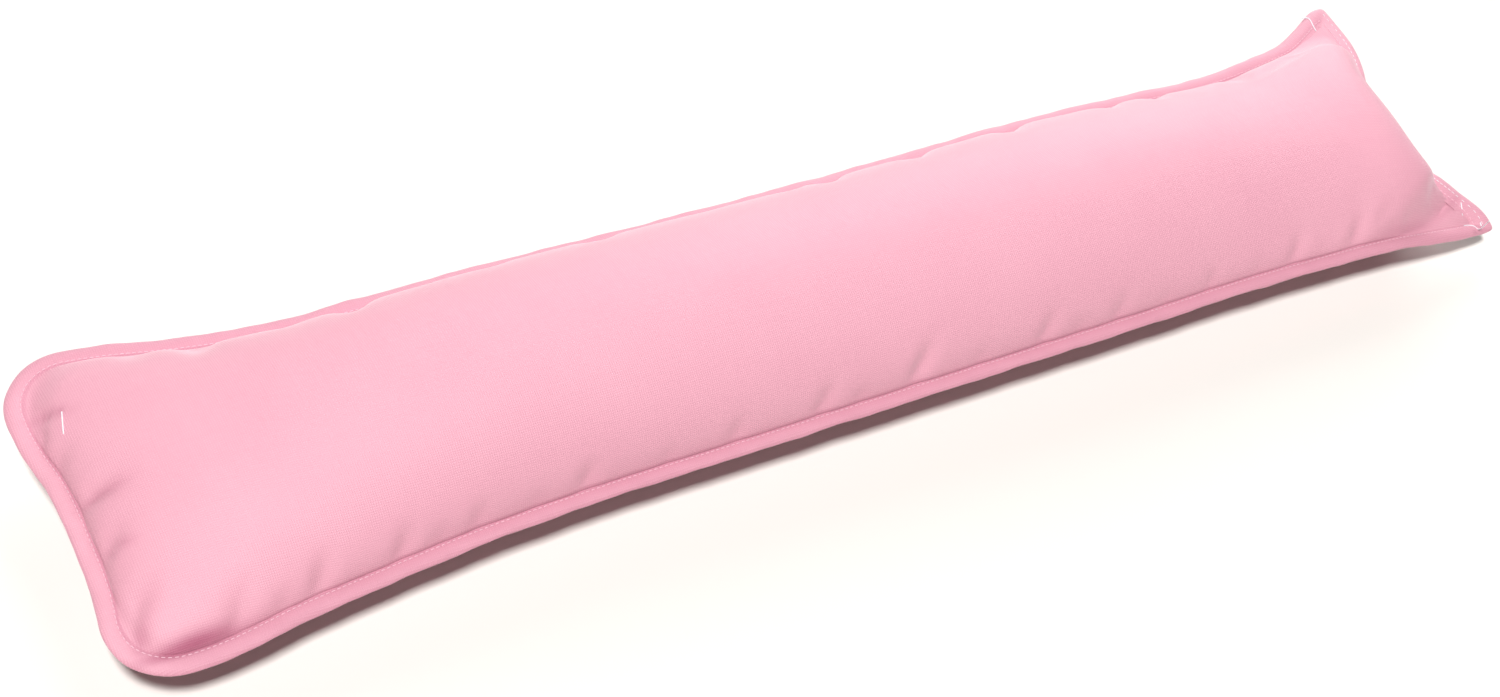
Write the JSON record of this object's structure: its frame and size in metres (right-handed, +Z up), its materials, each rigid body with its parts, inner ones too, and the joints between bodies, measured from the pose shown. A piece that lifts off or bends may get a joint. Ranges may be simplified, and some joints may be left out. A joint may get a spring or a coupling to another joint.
{
  "type": "draught excluder",
  "caption": "Long stuffed canvas cushion with a flat topstitched rim, laid along the foot of a door to stop draughts.",
  "frame": {"origin": "centre of the box on the floor", "axes": "+X along the cushion, towards the short end that was sewn shut last; +Y across it, towards its back edge; +Z up"},
  "size_m": [0.8006, 0.1856, 0.0851],
  "materials": {
    "pink_canvas": "plain dyed, closely woven cotton canvas, matt"
  },
  "bodies": {
    "root": {"cushion": "pink_canvas"}
  },
  "joints": []
}
